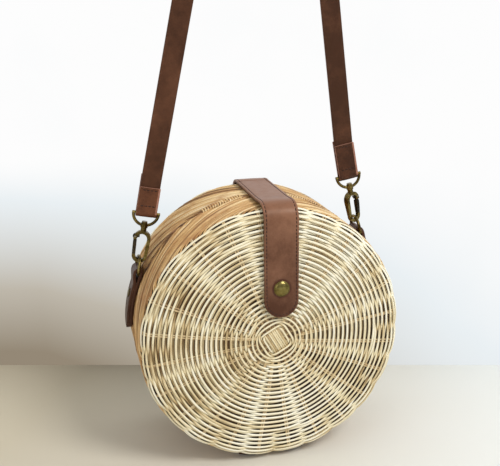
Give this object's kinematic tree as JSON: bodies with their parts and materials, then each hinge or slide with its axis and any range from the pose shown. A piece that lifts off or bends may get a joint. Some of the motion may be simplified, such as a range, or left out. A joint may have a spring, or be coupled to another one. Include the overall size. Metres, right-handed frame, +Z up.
{
  "type": "round woven shoulder bag",
  "caption": "Round woven cane bag of two half shells on leather hinges, with a snap strap, side rings and a clip-on leather shoulder strap.",
  "frame": {"origin": "inner top of the shoulder strap's loop, where a peg or a shoulder carries it", "axes": "+Z up, +Y towards the back of the bag, +X to the right as the closure strap is seen"},
  "size_m": [0.207, 0.1086, 0.6],
  "materials": {
    "reed": "matt natural cane",
    "stake": "matt natural cane",
    "strap_leather": "smooth satin",
    "flap_leather": "smooth satin",
    "brass": "aged satin",
    "gate_metal": "aged satin",
    "steel": "satin"
  },
  "bodies": {
    "strap": {"shoulder_strap": "strap_leather", "left_strap_end": "strap_leather", "right_strap_end": "strap_leather", "left_hook_eye": "brass", "right_hook_eye": "brass"},
    "left_hook": {"left_hook_body": "brass", "left_gate_pin": "steel", "left_gate_spring": "steel"},
    "left_gate": {"left_gate": "gate_metal"},
    "right_hook": {"right_hook_body": "brass", "right_gate_pin": "steel", "right_gate_spring": "steel"},
    "right_gate": {"right_gate": "gate_metal"},
    "bag": {"rear_shell": "reed", "rear_stakes": "stake", "rear_rim_rod": "stake", "rear_cross": "stake", "left_tab": "strap_leather", "right_tab": "strap_leather", "tab_rivets": "brass", "closure_tail": "flap_leather", "tail_rivets": "brass", "left_hinge_rear": "strap_leather", "right_hinge_rear": "strap_leather", "rear_hinge_rivets": "brass"},
    "left_ring": {"left_ring": "brass"},
    "right_ring": {"right_ring": "brass"},
    "front": {"front_shell": "reed", "front_stakes": "stake", "front_rim_rod": "stake", "front_cross": "stake", "snap_stud": "steel", "left_hinge_front": "strap_leather", "right_hinge_front": "strap_leather", "front_hinge_rivets": "brass"},
    "flap": {"closure_strap": "flap_leather", "closure_lining": "flap_leather", "snap_cap": "brass", "snap_socket": "steel"}
  },
  "joints": [
    {"name": "bag_swing", "type": "hinge", "parent": "strap", "child": "bag", "pos_m": [-0.01516, 0, -0.43447], "axis": [0.9934, 0, 0.1149], "range_deg": [-20, 20]},
    {"name": "left_hook_swivel", "type": "hinge", "parent": "strap", "child": "left_hook", "pos_m": [-0.09669, 0, -0.41703], "axis": [0.1908, 0, 0.9816], "range_deg": [-8, 32]},
    {"name": "left_gate_open", "type": "hinge", "parent": "left_hook", "child": "left_gate", "pos_m": [-0.10336, 0.00107, -0.42492], "axis": [-0.2041, -0.9781, 0.0397], "range_deg": [0, 16], "stiffness_Nm_per_rad": 0.006, "springref_deg": -20.05, "deforming": ["left_gate_spring"]},
    {"name": "left_ring_turn", "type": "hinge", "parent": "bag", "child": "left_ring", "pos_m": [-0.10336, 0, -0.452], "axis": [0, 1, 0], "range_deg": [-1, 1]},
    {"name": "right_hook_swivel", "type": "hinge", "parent": "strap", "child": "right_hook", "pos_m": [0.06638, 0, -0.39693], "axis": [-0.1908, 0, 0.9816], "range_deg": [-44, 0]},
    {"name": "right_gate_open", "type": "hinge", "parent": "right_hook", "child": "right_gate", "pos_m": [0.07272, 0.00209, -0.40489], "axis": [-0.3993, 0.9135, -0.0776], "range_deg": [0, 16], "stiffness_Nm_per_rad": 0.006, "springref_deg": -20.05, "deforming": ["right_gate_spring"]},
    {"name": "right_ring_turn", "type": "hinge", "parent": "bag", "child": "right_ring", "pos_m": [0.07304, 0, -0.4319], "axis": [0, 1, 0], "range_deg": [-1, 1]},
    {"name": "shell_open", "type": "hinge", "parent": "bag", "child": "front", "pos_m": [0.01, -0.008, -0.59539], "axis": [1, 0, 0], "range_deg": [0, 80], "deforming": ["closure_strap", "closure_lining", "snap_cap", "snap_socket"]},
    {"name": "flap_lift", "type": "hinge", "parent": "bag", "child": "flap", "pos_m": [-0.0063, 0.024, -0.3935], "axis": [-1, 0, 0], "range_deg": [0, 120], "deforming": ["closure_strap", "closure_lining", "snap_cap", "snap_socket"]}
  ]
}
